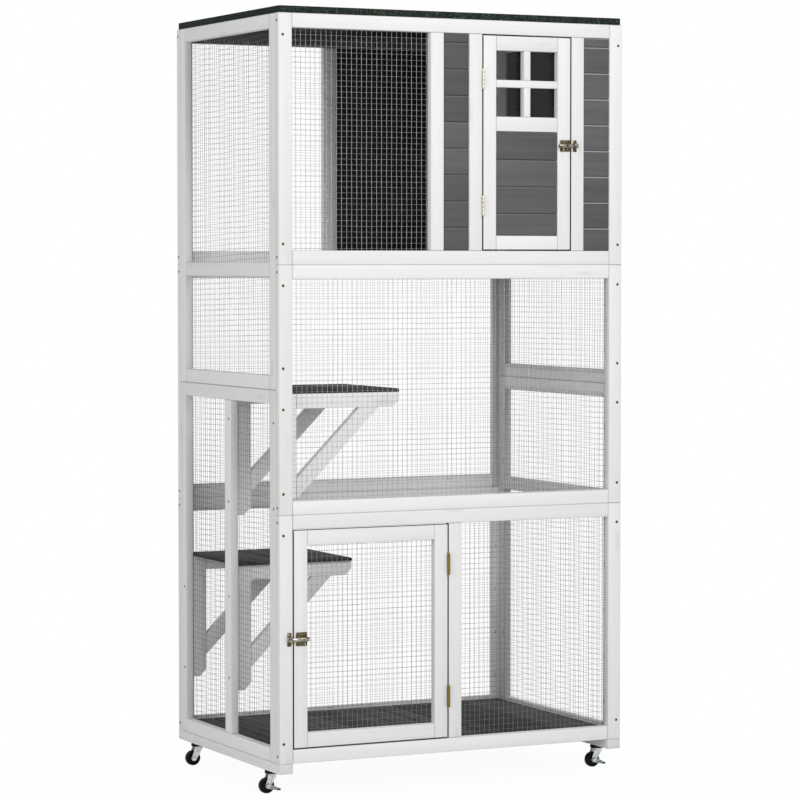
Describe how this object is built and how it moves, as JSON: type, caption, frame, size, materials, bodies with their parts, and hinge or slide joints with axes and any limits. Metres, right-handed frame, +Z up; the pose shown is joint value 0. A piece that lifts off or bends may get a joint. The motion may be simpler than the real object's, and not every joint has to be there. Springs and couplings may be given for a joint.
{
  "type": "outdoor cat house",
  "caption": "Tall outdoor cat house on casters: a wooden frame closed with welded mesh, shelves inside, a lower mesh door, and a planked house with a windowed door at the top.",
  "frame": {"origin": "on the ground, under the middle of the panel frames' footprint (the casters' wheels and the latches reach a little past it)", "axes": "+X to the right as seen from the front, +Y to the back, +Z up; the two doors face -Y"},
  "size_m": [0.905, 0.617, 1.791],
  "materials": {
    "whitewash": "white-washed softwood, matt",
    "grey_wash": "grey-stained tongue-and-groove planks",
    "dark_board": "dark grey stained boards",
    "wire": "galvanised welded wire",
    "felt": "mineral roofing felt, dark green-black with pale grit",
    "pale_brass": "pale brass",
    "old_brass": "dull antique brass",
    "zinc": "zinc-plated steel",
    "black": "black rubber and plastic",
    "pane": "clear pane"
  },
  "bodies": {
    "run": {"bearers": "whitewash", "front_frame_top": "whitewash", "front_frame_middle": "whitewash", "front_frame_bottom": "whitewash", "back_frame_top": "whitewash", "back_frame_middle": "whitewash", "back_frame_bottom": "whitewash", "left_frame_upper": "whitewash", "left_frame_lower": "whitewash", "right_frame_upper": "whitewash", "right_frame_lower": "whitewash", "floor_cleats": "whitewash", "shelf_brackets": "whitewash", "front_planks": "grey_wash", "back_planks": "grey_wash", "right_planks": "grey_wash", "house_floor": "dark_board", "floor_boards": "dark_board", "upper_shelf": "dark_board", "lower_shelf": "dark_board", "roof_board": "dark_board", "mesh_front_bay": "wire", "mesh_front_middle": "wire", "mesh_front_bottom": "wire", "mesh_back": "wire", "mesh_left_upper": "wire", "mesh_left_lower": "wire", "mesh_right_upper": "wire", "mesh_right_lower": "wire", "roof_felt": "felt", "hinge_post_leaves": "pale_brass", "latch_keepers": "old_brass", "caster_tops": "black"},
    "house_door": {"house_door_frame": "whitewash", "house_door_bars": "whitewash", "house_door_pane": "pane", "house_door_planks": "grey_wash", "house_door_leaves": "pale_brass", "house_latch_body": "old_brass"},
    "lower_door": {"lower_door_frame": "whitewash", "lower_door_mesh": "wire", "lower_door_leaves": "pale_brass", "lower_latch_body": "old_brass"},
    "house_bolt": {"house_bolt": "old_brass"},
    "lower_bolt": {"lower_bolt": "old_brass"},
    "fork_fl": {"caster_fork_fl": "zinc"},
    "wheel_fl": {"caster_wheel_fl": "black"},
    "brake_fl": {"brake_lever_fl": "zinc"},
    "fork_fr": {"caster_fork_fr": "zinc"},
    "wheel_fr": {"caster_wheel_fr": "black"},
    "brake_fr": {"brake_lever_fr": "zinc"},
    "fork_rl": {"caster_fork_rl": "zinc"},
    "wheel_rl": {"caster_wheel_rl": "black"},
    "fork_rr": {"caster_fork_rr": "zinc"},
    "wheel_rr": {"caster_wheel_rr": "black"}
  },
  "joints": [
    {"name": "house_door_hinge", "type": "hinge", "parent": "run", "child": "house_door", "pos_m": [0.07325, -0.306, 1.492], "axis": [0, 0, -1], "range_deg": [0, 165]},
    {"name": "lower_door_hinge", "type": "hinge", "parent": "run", "child": "lower_door", "pos_m": [-0.01625, -0.306, 0.36], "axis": [0, 0, 1], "range_deg": [0, 165]},
    {"name": "house_bolt_slide", "type": "slide", "parent": "house_door", "child": "house_bolt", "axis": [1, 0, 0], "range_m": [0, 0.0135]},
    {"name": "lower_bolt_slide", "type": "slide", "parent": "lower_door", "child": "lower_bolt", "axis": [-1, 0, 0], "range_m": [0, 0.0135]},
    {"name": "swivel_fl", "type": "hinge", "parent": "run", "child": "fork_fl", "pos_m": [-0.428, -0.2215, 0.048], "axis": [0, 0, 1], "continuous": true},
    {"name": "roll_fl", "type": "hinge", "parent": "fork_fl", "child": "wheel_fl", "pos_m": [-0.442, -0.2215, 0.018], "axis": [0, 1, 0], "continuous": true},
    {"name": "brake_fl", "type": "hinge", "parent": "fork_fl", "child": "brake_fl", "pos_m": [-0.442, -0.2215, 0.018], "axis": [0, -1, 0], "range_deg": [0, 22]},
    {"name": "swivel_fr", "type": "hinge", "parent": "run", "child": "fork_fr", "pos_m": [0.428, -0.2215, 0.048], "axis": [0, 0, 1], "continuous": true},
    {"name": "roll_fr", "type": "hinge", "parent": "fork_fr", "child": "wheel_fr", "pos_m": [0.414, -0.2215, 0.018], "axis": [0, 1, 0], "continuous": true},
    {"name": "brake_fr", "type": "hinge", "parent": "fork_fr", "child": "brake_fr", "pos_m": [0.414, -0.2215, 0.018], "axis": [0, -1, 0], "range_deg": [0, 22]},
    {"name": "swivel_rl", "type": "hinge", "parent": "run", "child": "fork_rl", "pos_m": [-0.428, 0.2215, 0.048], "axis": [0, 0, 1], "continuous": true},
    {"name": "roll_rl", "type": "hinge", "parent": "fork_rl", "child": "wheel_rl", "pos_m": [-0.442, 0.2215, 0.018], "axis": [0, 1, 0], "continuous": true},
    {"name": "swivel_rr", "type": "hinge", "parent": "run", "child": "fork_rr", "pos_m": [0.428, 0.2215, 0.048], "axis": [0, 0, 1], "continuous": true},
    {"name": "roll_rr", "type": "hinge", "parent": "fork_rr", "child": "wheel_rr", "pos_m": [0.414, 0.2215, 0.018], "axis": [0, 1, 0], "continuous": true}
  ]
}
